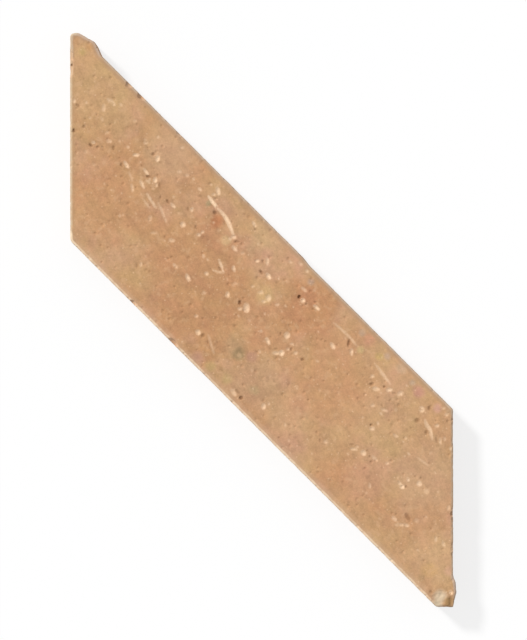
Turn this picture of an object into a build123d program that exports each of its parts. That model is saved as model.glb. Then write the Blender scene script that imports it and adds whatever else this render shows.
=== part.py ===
"""A right-hand terracotta tile for a chevron floor, one piece of fired clay.

The tile is a strip with both ends cut at the mitre angle, so that its plan is a
parallelogram with two sharp tips and two blunt heels. One cut lies on the spine
of the pattern and the other on its border. Both tips are broken, the arris round
the wear face is worn and flaked, and the wear face is crowned across the strip.

X runs from the spine to the border, Y runs up the spine towards the point of the
chevron, and Z is up. The origin is the centre of the bedding face.
"""

from build123d import *
from math import cos, radians, sin
import os

# Driving dimensions, in millimetres and degrees
tile_length = 300  # along a long edge, from the spine cut to the border cut
tile_width = 85  # square across the two long edges
tile_thickness = 20  # at the middle of the wear face
mitre_angle = 45  # between a long edge and either cut end
crown_rise = 0.8  # how far the wear face falls from its middle to a long edge

# Edges
arris_radius = 1.4  # foot-worn arris round the wear face
bed_arris_radius = 0.6  # arris round the bedding face
spine_heel_radius = 3.5  # rounding of the blunt corner at the spine, in plan
border_heel_radius = 1.8  # rounding of the blunt corner at the border, in plan
spine_break_radius = 2.6  # rounding of the broken spine tip at the spine cut, in plan
break_corner_radius = 1.6  # rounding of the other corners of the two breaks, in plan
lip_peak_radius = 3.0  # rounding of the peak of the lip, in plan
lip_blend_radius = 4.0  # where the lip and the burr run back into a straight edge, in plan

# The spine tip is broken square across, and a lip of clay stands proud of the long edge beside it
spine_tip_loss = 4.8  # taken off the point, measured down the spine cut
spine_break_width = 4.3  # from the spine cut to the shoulder where the lip starts
spine_lip_peak = 16.8  # along the long edge from the lost point to the peak of the lip
spine_lip_rise = 2.9  # peak of the lip above the long edge
spine_lip_end = 24.5  # along the same edge to where the lip dies out

# The border tip is broken square across, with a burr on the cut above it
border_tip_loss = 9.2  # taken off the point, measured up the border cut
border_break_reach = 13.6  # along the lower long edge from the lost point to the break
border_break_hollow = 0.2  # how far the broken end is dished
border_burr_peak = 17.5  # up the border cut from the lost point to the peak of the burr
border_burr_rise = 2.1  # peak of the burr out of the border cut
border_burr_end = 27.0  # up the same cut to where the burr dies out
border_burr_flank = 1.4  # height of the burr out of the cut, half way down its flank

# Flakes off the arris: how far along the edge from its tip or heel, the length of the scar,
# and its bite into the arris
spine_wear_at = 22.0
spine_wear_length = 17.0
spine_wear_bite = 1.5
upper_nick_at = 47.0
upper_nick_length = 4.5
upper_nick_bite = 1.3
upper_chip_at = 56.5
upper_chip_length = 6.0
upper_chip_bite = 1.5
lower_nick_at = 49.0
lower_nick_length = 5.0
lower_nick_bite = 1.4
lower_chip_at = 80.0
lower_chip_length = 7.5
lower_chip_bite = 1.7
border_chip_at = 62.0
border_chip_length = 5.0
border_chip_bite = 1.3

# The shells of clay lost from the wear face behind the two broken tips: a broad shallow one
# at the spine, and a small deep one at the border that starts a little inside the break
spine_shell_radius = 40.0
spine_shell_depth = 0.8
border_shell_radius = 7.0
border_shell_depth = 2.2
border_shell_inset = 2.0

# Directions in plan: along a long edge towards the border, out of the upper long edge,
# up the spine cut and out of the border cut
mitre = radians(mitre_angle)
along = Vector(sin(mitre), -cos(mitre))
outward = Vector(cos(mitre), sin(mitre))
up_the_cut = Vector(0, 1)
off_the_cut = Vector(1, 0)

# Corners of the sharp parallelogram
cut_length = tile_width / sin(mitre)
spine_tip = along * (-tile_length / 2) + up_the_cut * (cut_length / 2)
spine_heel = spine_tip - up_the_cut * cut_length
border_heel = spine_tip + along * tile_length
border_tip = border_heel - up_the_cut * cut_length
edge_height = tile_thickness - crown_rise


def by_spine_tip(distance, rise):
    """A point of the plan, along the upper long edge from the spine tip and out of that edge."""
    return spine_tip + along * distance + outward * rise


def by_border_tip(distance, rise):
    """A point of the plan, up the border cut from the border tip and out of that cut."""
    return border_tip + up_the_cut * distance + off_the_cut * rise


def lift(point, height):
    """A point of the plan raised to a height."""
    return Vector(point.X, point.Y, height)


def scar(point, edge_out, length, bite):
    """Centre and radius of the ball that takes a scar of this length and bite off the arris."""
    radius = (length**2 / 4 + bite**2) / (2 * bite)
    slope = (edge_out + Vector(0, 0, 1)).normalized()
    return lift(point, edge_height) + slope * (radius - bite), radius


with BuildPart() as tile:
    with BuildSketch(Plane.XY) as plan:
        with BuildLine():
            # The spine cut, up to the broken tip
            spine_break = spine_tip - up_the_cut * spine_tip_loss
            Line(spine_heel, spine_break)
            # The nose and its lip
            lip_shoulder = spine_break + off_the_cut * spine_break_width
            lip_peak = by_spine_tip(spine_lip_peak, spine_lip_rise)
            lip_end = by_spine_tip(spine_lip_end, 0)
            Polyline(spine_break, lip_shoulder, lip_peak, lip_end)
            # The upper long edge, then the border cut down to its burr
            Line(lip_end, border_heel)
            burr_end = by_border_tip(border_burr_end, 0)
            Line(border_heel, burr_end)
            # The burr, and the break across the border tip
            burr_flank = by_border_tip((border_burr_end + border_burr_peak) / 2, border_burr_flank)
            burr_peak = by_border_tip(border_burr_peak, border_burr_rise)
            break_start = by_border_tip(border_tip_loss, 0)
            break_end = border_tip - along * border_break_reach
            break_hollow = (break_start + break_end) / 2 + up_the_cut * border_break_hollow
            ThreePointArc(burr_end, burr_flank, burr_peak)
            Line(burr_peak, break_start)
            ThreePointArc(break_start, break_hollow, break_end)
            # The lower long edge, back to the spine heel
            Line(break_end, spine_heel)
        make_face()
        worn_corners = [
            (spine_heel, spine_heel_radius),
            (border_heel, border_heel_radius),
            (lip_end, lip_blend_radius),
            (burr_end, lip_blend_radius),
            (spine_break, spine_break_radius),
            (lip_shoulder, break_corner_radius),
            (lip_peak, lip_peak_radius),
            (burr_peak, break_corner_radius),
            (break_start, break_corner_radius),
            (break_end, break_corner_radius),
        ]
        for corner, radius in worn_corners:
            fillet(plan.vertices().sort_by_distance(corner)[0], radius)
    extrude(amount=tile_thickness)
    fillet(tile.faces().sort_by(Axis.Z)[0].edges(), bed_arris_radius)

    # The wear face is crowned across the strip: what stands above the crown is taken away
    half_width = tile_width / 2
    reach = half_width + spine_lip_rise + border_burr_rise
    crown_end = tile_thickness - crown_rise * (reach / half_width) ** 2
    with BuildSketch(Plane(origin=(0, 0, 0), x_dir=outward, z_dir=along)):
        with BuildLine():
            ThreePointArc((-reach, crown_end), (0, tile_thickness), (reach, crown_end))
            Polyline(
                (reach, crown_end),
                (reach, tile_thickness + crown_rise),
                (-reach, tile_thickness + crown_rise),
                (-reach, crown_end),
            )
        make_face()
    extrude(amount=tile_length, both=True, mode=Mode.SUBTRACT)

    # The worn arris round it
    fillet(tile.faces().sort_by(Axis.Z)[-1].edges(), arris_radius)

    # Flakes along the arrises
    spine_wear = spine_tip - up_the_cut * spine_wear_at
    upper_nick = spine_tip + along * upper_nick_at
    upper_chip = spine_tip + along * upper_chip_at
    lower_nick = spine_heel + along * lower_nick_at
    lower_chip = spine_heel + along * lower_chip_at
    border_chip = border_tip + up_the_cut * border_chip_at
    scars = [
        scar(spine_wear, -off_the_cut, spine_wear_length, spine_wear_bite),
        scar(upper_nick, outward, upper_nick_length, upper_nick_bite),
        scar(upper_chip, outward, upper_chip_length, upper_chip_bite),
        scar(lower_nick, -outward, lower_nick_length, lower_nick_bite),
        scar(lower_chip, -outward, lower_chip_length, lower_chip_bite),
        scar(border_chip, off_the_cut, border_chip_length, border_chip_bite),
    ]
    for centre, radius in scars:
        with Locations(centre):
            Sphere(radius, mode=Mode.SUBTRACT)

    # Shells off the wear face at the two broken tips
    spine_nose = (spine_break + lip_peak) / 2
    border_nose = (break_start + break_end) / 2 + up_the_cut * border_shell_inset
    shells = [
        (spine_nose, spine_shell_radius, spine_shell_depth),
        (border_nose, border_shell_radius, border_shell_depth),
    ]
    for nose, radius, depth in shells:
        with Locations(lift(nose, edge_height + radius - depth)):
            Sphere(radius, mode=Mode.SUBTRACT)

tile.part.label = "tile"

os.makedirs("parts", exist_ok=True)
export_step(tile.part, "parts/tile.step")

box = tile.part.bounding_box()
print("tile", box.min, box.max, "volume", round(tile.part.volume))
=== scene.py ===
import random
from math import atan2, cos, hypot, pi, radians, sin, tan

import bpy
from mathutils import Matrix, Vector


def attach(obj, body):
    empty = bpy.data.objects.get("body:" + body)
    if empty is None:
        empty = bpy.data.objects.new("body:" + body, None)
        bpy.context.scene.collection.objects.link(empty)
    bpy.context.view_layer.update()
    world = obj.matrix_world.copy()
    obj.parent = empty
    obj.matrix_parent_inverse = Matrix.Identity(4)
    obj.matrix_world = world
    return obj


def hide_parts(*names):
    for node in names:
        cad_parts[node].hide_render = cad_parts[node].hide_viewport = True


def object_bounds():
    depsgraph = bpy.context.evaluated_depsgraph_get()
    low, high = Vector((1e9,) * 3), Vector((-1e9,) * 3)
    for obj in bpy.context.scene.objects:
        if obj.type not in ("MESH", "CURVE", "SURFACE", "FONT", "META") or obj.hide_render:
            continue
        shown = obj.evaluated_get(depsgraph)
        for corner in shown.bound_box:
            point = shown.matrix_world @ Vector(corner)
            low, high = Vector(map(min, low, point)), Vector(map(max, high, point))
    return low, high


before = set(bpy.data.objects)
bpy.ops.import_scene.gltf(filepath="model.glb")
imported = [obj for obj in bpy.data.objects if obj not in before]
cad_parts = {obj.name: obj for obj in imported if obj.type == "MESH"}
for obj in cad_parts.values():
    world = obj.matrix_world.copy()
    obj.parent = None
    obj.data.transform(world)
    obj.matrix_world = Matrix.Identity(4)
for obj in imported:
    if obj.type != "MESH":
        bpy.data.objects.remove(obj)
cadLow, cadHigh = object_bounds()
print("frame loaded")

mm = 0.001
upright = Vector((0, 0, 1))
up = Vector((0, 1, 0))
right = Vector((1, 0, 0))


# Hand tools

def deselectAll():
    if bpy.context.mode != "OBJECT":
        bpy.ops.object.mode_set(mode="OBJECT")
    bpy.ops.object.select_all(action="DESELECT")


def makeActive(piece):
    deselectAll()
    piece.select_set(True)
    bpy.context.view_layer.objects.active = piece


def editVertices(piece, wanted):
    # opens the piece in edit mode with the wanted vertices selected
    makeActive(piece)
    bpy.ops.object.mode_set(mode="EDIT")
    bpy.ops.mesh.select_mode(type="VERT")
    bpy.ops.mesh.select_all(action="DESELECT")
    bpy.ops.object.mode_set(mode="OBJECT")
    for vertex in piece.data.vertices:
        vertex.select = wanted(vertex.co)
    bpy.ops.object.mode_set(mode="EDIT")


def editEdges(piece, wanted):
    # the same for edges, which are chosen by their two ends
    makeActive(piece)
    bpy.ops.object.mode_set(mode="EDIT")
    bpy.ops.mesh.select_mode(type="EDGE")
    bpy.ops.mesh.select_all(action="DESELECT")
    bpy.ops.object.mode_set(mode="OBJECT")
    corners = piece.data.vertices
    for edge in piece.data.edges:
        start, end = edge.vertices
        edge.select = wanted(corners[start].co, corners[end].co)
    bpy.ops.object.mode_set(mode="EDIT")


def applyModifier(piece, kind, **settings):
    makeActive(piece)
    bpy.ops.object.modifier_add(type=kind)
    modifier = piece.modifiers[-1]
    for name, value in settings.items():
        setattr(modifier, name, value)
    bpy.ops.object.modifier_apply(modifier=modifier.name)


def joinPieces(pieces, name):
    deselectAll()
    for piece in pieces:
        piece.select_set(True)
    bpy.context.view_layer.objects.active = pieces[0]
    bpy.ops.object.join()
    joined = bpy.context.active_object
    joined.name = name
    return joined


# Node tools

def addNode(tree, kind, inputs=None, **settings):
    node = tree.nodes.new(kind)
    for name, value in settings.items():
        setattr(node, name, value)
    for key, value in (inputs or {}).items():
        if isinstance(value, bpy.types.NodeSocket):
            tree.links.new(value, node.inputs[key])
        else:
            node.inputs[key].default_value = value
    return node


def calc(tree, operation, *values):
    node = addNode(tree, "ShaderNodeMath", dict(enumerate(values)), operation=operation)
    return node.outputs[0]


def vectorCalc(tree, operation, *values):
    node = addNode(tree, "ShaderNodeVectorMath", dict(enumerate(values)), operation=operation)
    return node.outputs["Value" if operation == "DISTANCE" else "Vector"]


def scaled(tree, vector, factor):
    node = addNode(tree, "ShaderNodeVectorMath", {0: vector, "Scale": factor}, operation="SCALE")
    return node.outputs["Vector"]


def separate(tree, vector):
    return addNode(tree, "ShaderNodeSeparateXYZ", {0: vector}).outputs


def remap(tree, value, fromLow, fromHigh, toLow=0.0, toHigh=1.0, kind="SMOOTHSTEP"):
    node = addNode(
        tree, "ShaderNodeMapRange",
        {"Value": value, "From Min": fromLow, "From Max": fromHigh, "To Min": toLow, "To Max": toHigh},
        interpolation_type=kind,
    )
    return node.outputs["Result"]


def noise(tree, place, scale, detail=3.0, roughness=0.55, output="Fac"):
    node = addNode(
        tree, "ShaderNodeTexNoise",
        {"Vector": place, "Scale": scale, "Detail": detail, "Roughness": roughness},
    )
    return node.outputs[output]


def jitter(tree, place, scale, amount):
    # moves a place to and fro, so that what is measured from it has a ragged rim
    shake = vectorCalc(tree, "SUBTRACT", noise(tree, place, scale, output="Color"), (0.5, 0.5, 0.5))
    return vectorCalc(tree, "ADD", place, scaled(tree, shake, amount))


def turned(tree, vector, angle):
    node = addNode(
        tree, "ShaderNodeVectorRotate", {"Vector": vector, "Angle": angle}, rotation_type="Z_AXIS",
    )
    return node.outputs["Vector"]


def mixColours(tree, share, under, over):
    node = addNode(tree, "ShaderNodeMix", data_type="RGBA", clamp_factor=True)
    # sockets 0, 6 and 7 are the factor and the two colours
    for index, value in ((0, share), (6, under), (7, over)):
        if isinstance(value, bpy.types.NodeSocket):
            tree.links.new(value, node.inputs[index])
        else:
            node.inputs[index].default_value = value
    return node.outputs[2]


def colour(red, green, blue):
    # a colour as a paint program shows it, made linear
    def linear(level):
        share = level / 255
        return share / 12.92 if share <= 0.04045 else ((share + 0.055) / 1.055) ** 2.4
    return (linear(red), linear(green), linear(blue), 1.0)


# The tile's form, in metres

tileForm = {
    "width": 85 * mm,               # square across the long edges
    "mitre": radians(45),
    "crown": 0.8 * mm,              # fall of the wear face at a long edge
    "arris": 1.4 * mm,
    "bedArris": 0.6 * mm,
    "spineHeel": 3.5 * mm,          # roundings in plan
    "borderHeel": 1.8 * mm,
    "spineBreak": 2.4 * mm,
    "breakCorner": 1.6 * mm,
    "lipPeak": 3.0 * mm,
    # each broken tip: how far along the edge from the lost point, and how far out of it
    "spineLoss": 4.8 * mm,
    "spineLip": [(16.8 * mm, 2.9 * mm), (24.5 * mm, 0.0)],
    "borderLoss": 9.4 * mm,
    "borderBurr": [
        (12.5 * mm, 0.6 * mm), (17.5 * mm, 2.1 * mm), (19.8 * mm, 1.7 * mm), (23.4 * mm, 1.4 * mm),
        (27.0 * mm, 0.0),
    ],
    # the upper edge stands a little further in from here on
    "upperStep": [(183 * mm, 0.0), (189 * mm, 0.8 * mm)],
    "score": 7 * mm,                # size of the blank's faces
    "grid": 0.45 * mm,              # size of the faces while the clay is worked
    "triangles": 190000,
    "wearFaceDepth": 3 * mm,        # what lies within this of the top counts as wear face,
    "wearFaceWeight": 0.5,          # which the thinning spares by this weight
    "wearFaceCare": 1e-5,           # and this factor
    "slack": 0.01 * mm,             # within which an edge counts as top or bottom edge
}

thickness = cadHigh.z
mitre = tileForm["mitre"]
along = Vector((sin(mitre), -cos(mitre), 0))    # down a long edge, from the spine to the border
outward = Vector((cos(mitre), sin(mitre), 0))   # out of the upper long edge
halfWidth = tileForm["width"] / 2
halfSpan = -cadLow.x                            # from the middle to either cut
halfFall = halfSpan / tan(mitre)
longEdge = 2 * halfSpan / sin(mitre)
cutLength = tileForm["width"] / sin(mitre)
spineTip = Vector((-halfSpan, halfFall + cutLength / 2, 0))
spineHeel = spineTip - up * cutLength
borderTip = Vector((halfSpan, -halfFall - cutLength / 2, 0))
borderHeel = borderTip + up * cutLength


def near(point, place, reach=0.3 * mm):
    return hypot(point.x - place.x, point.y - place.y) < reach


def bisectTile(tile, place, normal, dropBeyond=False):
    editVertices(tile, lambda point: True)
    bpy.ops.mesh.bisect(
        plane_co=place, plane_no=normal, use_fill=dropBeyond, clear_outer=dropBeyond, threshold=1e-6,
    )


def bevelCorner(tile, place, radius):
    editEdges(tile, lambda start, end: near(start, place) and near(end, place))
    bpy.ops.mesh.bevel(offset=radius * tan(pi / 8), offset_type="OFFSET", segments=4, affect="EDGES")


def addTileBlank():
    deselectAll()
    bpy.ops.mesh.primitive_cube_add(
        size=1, location=(0, 0, thickness / 2), scale=(2 * halfSpan, cutLength, thickness),
    )
    tile = bpy.context.active_object
    tile.name = "terracottaTile"
    bpy.ops.object.transform_apply(location=True, rotation=True, scale=True)
    # the mitre: one end slides up, the other down
    editVertices(tile, lambda point: point.x < 0)
    bpy.ops.transform.translate(value=(0, halfFall, 0))
    editVertices(tile, lambda point: point.x > 0)
    bpy.ops.transform.translate(value=(0, -halfFall, 0))
    return tile


def pullEdge(tile, corner, way, out, points):
    # cuts the tile at each distance from its corner, then pulls the edge out there
    for distance, rise in points:
        bisectTile(tile, corner + way * distance, way)
    for distance, rise in points:
        foot = corner + way * distance
        editVertices(tile, lambda point: near(point, foot))
        bpy.ops.transform.translate(value=out * rise)


def breakTips(tile, form):
    bisectTile(tile, spineTip - up * form["spineLoss"], up, dropBeyond=True)
    bisectTile(tile, borderTip + up * form["borderLoss"], -up, dropBeyond=True)
    pullEdge(tile, spineTip, along, outward, form["spineLip"])
    pullEdge(tile, borderTip, up, right, form["borderBurr"])
    pullEdge(tile, spineTip, along, -outward, form["upperStep"])
    step = form["upperStep"][-1][1]
    editVertices(tile, lambda point: near(point, borderHeel))
    bpy.ops.transform.translate(value=-up * step / sin(mitre))
    editVertices(tile, lambda point: True)
    bpy.ops.mesh.dissolve_limited(angle_limit=radians(0.5))


def softenEdges(tile, form):
    step = form["upperStep"][-1][1]
    peakAlong, peakRise = form["spineLip"][0]
    spineBreak = spineTip - up * form["spineLoss"]
    borderBreak = borderTip + up * form["borderLoss"]
    # the breaks run level, so each meets its long edge as far in as it is cut down. The spine break
    # starts square: there the share that the bevel takes for a turn of 45 degrees is undone
    plan = [
        (spineHeel, form["spineHeel"]),
        (borderHeel - up * step / sin(mitre), form["borderHeel"]),
        (spineBreak, form["spineBreak"] / tan(pi / 8)),
        (spineBreak + right * form["spineLoss"] / tan(mitre), form["breakCorner"]),
        (spineTip + along * peakAlong + outward * peakRise, form["lipPeak"]),
        (borderBreak, form["breakCorner"]),
        (borderBreak - right * form["borderLoss"] / tan(mitre), form["breakCorner"]),
    ]
    for corner, radius in plan:
        bevelCorner(tile, corner, radius)
    editEdges(tile, lambda start, end: min(start.z, end.z) > thickness - form["slack"])
    bpy.ops.mesh.bevel(offset=form["arris"], segments=4, affect="EDGES")
    editEdges(tile, lambda start, end: max(start.z, end.z) < form["slack"])
    bpy.ops.mesh.bevel(offset=form["bedArris"], segments=2, affect="EDGES")
    deselectAll()


def copySides(tile):
    # the sides alone: what the worn rim is measured from
    makeActive(tile)
    bpy.ops.object.duplicate()
    sides = bpy.context.active_object
    for face in sides.data.polygons:
        face.select = abs(face.normal.z) > 0.5
    bpy.ops.object.mode_set(mode="EDIT")
    bpy.ops.mesh.select_mode(type="FACE")
    bpy.ops.mesh.delete(type="FACE")
    bpy.ops.object.mode_set(mode="OBJECT")
    return sides


def scoreTile(tile, form):
    # small faces keep every mark that is cut into them, and one great face loses some
    step = form["score"]
    for way, span in ((along, longEdge / 2 + halfWidth), (outward, halfWidth)):
        count = int(span / step)
        for index in range(-count, count + 1):
            bisectTile(tile, way * index * step, way)
    deselectAll()


tile = addTileBlank()
breakTips(tile, tileForm)
softenEdges(tile, tileForm)
sides = copySides(tile)
scoreTile(tile, tileForm)
print("tile blank:", len(tile.data.polygons), "faces")


# Marks in the wear face. Their places are pixels of the photograph, their sizes millimetres:
# x, y, length, width, turn from the X axis in degrees, depth

photoCentre = (387.3, 184.9)        # the pixel over the origin
metresPerPixel = 0.879 * mm

# Pits are cut holes darkened with painted shade; some of them are painted shadows beside pale marks
pitShadeMarks = {
    "fullDepth": 1.5,               # a pit as deep as this has its darkest painted shade
    "trim": 0.9,                    # the cut is this much of a mark's size: its colour spreads
    "bite": 0.8,                    # and this much of its depth
    "sunk": 0.0,                    # how far the stamp's middle is lifted, as a share of the depth
    "bySpine": [
        (269.3, 63.2, 3.1, 1.7, 90, 1.3), (280.0, 72.6, 3.6, 1.8, -45, 0.9),
        (284.3, 73.7, 2.5, 2.0, 0, 0.6), (287.2, 73.7, 1.6, 1.2, 0, 0.5), (294.2, 74.2, 3.6, 2.0, 90, 0.7),
        (271.9, 47.5, 3.6, 1.7, -45, 0.7), (275.6, 60.9, 2.5, 2.2, 0, 0.6), (276.5, 56.1, 2.4, 1.6, 0, 0.4),
        (280.5, 47.4, 2.4, 1.6, 0, 0.4), (294.4, 42.8, 3.6, 1.6, -38, 0.4),
        (288.8, 41.8, 2.2, 1.6, 0, 0.35), (272.1, 84.9, 2.4, 1.8, 0, 0.35),
        (291.5, 93.9, 3.0, 1.6, 0, 0.35), (291.1, 108.7, 2.4, 1.6, 0, 0.35),
        (302.5, 35.1, 2.6, 1.6, -45, 0.6), (310.2, 42.4, 2.6, 1.6, -45, 0.6),
        (314.2, 48.5, 1.6, 1.3, 0, 0.5),
    ],
    "combed": [
        (319.3, 78.0, 2.6, 2.2, 0, 0.95), (299.3, 84.7, 3.0, 2.2, 90, 0.7), (298.0, 80.5, 2.0, 1.4, 0, 0.4),
        (312.2, 85.3, 2.6, 1.6, -50, 0.4), (313.3, 91.7, 2.2, 1.4, 0, 0.55),
        (315.6, 92.2, 4.4, 1.9, 0, 0.85), (321.9, 91.4, 2.2, 1.6, 0, 0.45),
        (323.4, 97.9, 3.0, 1.5, 90, 0.45), (328.3, 107.9, 4.0, 1.4, -60, 0.8),
        (323.7, 105.4, 3.2, 1.4, 90, 0.5), (337.4, 100.9, 2.4, 1.6, 0, 0.35),
        (323.7, 83.4, 2.4, 1.6, -45, 0.4), (341.2, 112.7, 2.8, 1.4, 90, 0.6),
        (346.4, 124.4, 3.0, 1.6, -40, 0.5), (348.0, 120.6, 1.6, 1.4, 0, 0.5),
        (309.0, 148.5, 3.0, 1.8, 90, 0.45), (314.5, 151.0, 2.8, 2.0, 30, 0.35),
        (330.8, 142.8, 2.4, 2.0, 0, 0.4),
    ],
    "byGroove": [
        (358.0, 114.9, 3.3, 2.6, -50, 0.9), (357.8, 106.2, 5.0, 1.2, -55, 0.4),
        (364.0, 121.4, 4.6, 1.2, -60, 0.4), (368.7, 120.5, 2.2, 1.2, -60, 0.35),
        (348.8, 104.4, 2.6, 1.8, 0, 0.4), (355.2, 96.5, 2.4, 1.8, 0, 0.4), (371.8, 133.3, 4.4, 1.8, 0, 0.6),
        (376.6, 115.9, 1.6, 1.4, 0, 0.4), (383.3, 125.4, 1.8, 1.4, 0, 0.4),
        (361.2, 150.2, 3.4, 1.6, -60, 0.7), (388.1, 145.5, 2.6, 1.6, 90, 0.7),
        (387.1, 152.2, 3.6, 1.8, -50, 0.9),
    ],
    "middle": [
        (373.7, 171.5, 3.4, 2.4, 90, 1.2), (411.0, 167.8, 2.6, 2.2, 90, 2.0),
        (415.3, 172.3, 2.0, 1.6, 0, 0.9), (421.2, 171.0, 2.4, 1.4, 0, 0.6),
        (419.6, 175.5, 2.0, 1.4, 0, 0.5), (399.3, 191.0, 2.8, 1.4, 90, 0.6),
        (396.2, 200.5, 3.4, 1.2, 0, 0.6), (406.0, 200.8, 2.6, 1.6, 60, 0.8),
        (413.1, 207.2, 2.6, 1.8, 0, 0.9), (392.7, 200.5, 2.6, 1.2, -60, 0.5),
        (427.7, 195.7, 2.2, 1.6, 0, 0.4), (442.2, 196.7, 6.0, 1.9, 80, 1.0),
    ],
    "byBorder": [
        (456.5, 222.6, 3.6, 2.0, 20, 0.9), (464.5, 224.3, 1.9, 1.7, 0, 0.9),
        (470.5, 228.5, 3.2, 1.6, -20, 0.35), (461.0, 231.0, 2.4, 1.2, 0, 0.4),
        (463.0, 236.0, 2.4, 1.4, -60, 0.4), (492.8, 237.8, 3.1, 2.0, 90, 0.8),
        (485.3, 245.6, 3.6, 3.0, 0, 0.75), (491.0, 253.1, 3.1, 2.2, 90, 0.8),
        (497.4, 257.8, 5.2, 1.4, -77, 0.6), (504.3, 245.9, 2.4, 1.4, 90, 0.4),
        (480.5, 255.5, 2.0, 1.6, 0, 0.35), (456.3, 248.4, 2.0, 1.2, 0, 0.35),
        (444.0, 260.7, 3.4, 1.8, 0, 0.5), (453.8, 264.4, 1.6, 1.4, 0, 0.5),
        (455.4, 268.1, 2.0, 1.6, -60, 0.5), (456.3, 271.2, 2.2, 1.4, 0, 0.5),
        (493.0, 272.4, 2.4, 1.6, 0, 0.35), (484.0, 280.7, 2.0, 1.4, 0, 0.4),
        (487.4, 281.9, 2.0, 1.4, 60, 0.5), (478.2, 287.2, 1.6, 1.6, 0, 0.8),
        (451.0, 292.4, 2.6, 2.0, 60, 0.4), (471.9, 304.4, 1.8, 1.4, 0, 0.5),
        (479.4, 306.4, 6.5, 2.8, -58, 0.7), (507.4, 308.4, 2.2, 1.2, 90, 0.6),
        (507.2, 316.0, 2.2, 1.2, 90, 0.5), (493.8, 353.4, 2.6, 2.0, 0, 0.5),
    ],
    "byLowerEdge": [
        (374.3, 231.4, 2.6, 2.4, 0, 1.2), (372.3, 227.4, 4.5, 1.4, -50, 0.5),
        (350.5, 192.2, 2.8, 2.5, 0, 0.7), (353.5, 196.3, 4.0, 1.2, -80, 0.4),
        (359.4, 195.3, 3.6, 1.2, -85, 0.4), (416.8, 232.5, 1.8, 1.4, 0, 0.6),
        (398.3, 256.3, 1.8, 1.2, 40, 0.5), (424.2, 258.0, 3.0, 1.4, 90, 0.4),
    ],
}

# Flecks are shallow cut holes painted pale: lime, and painted highlight on their lit walls
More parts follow.
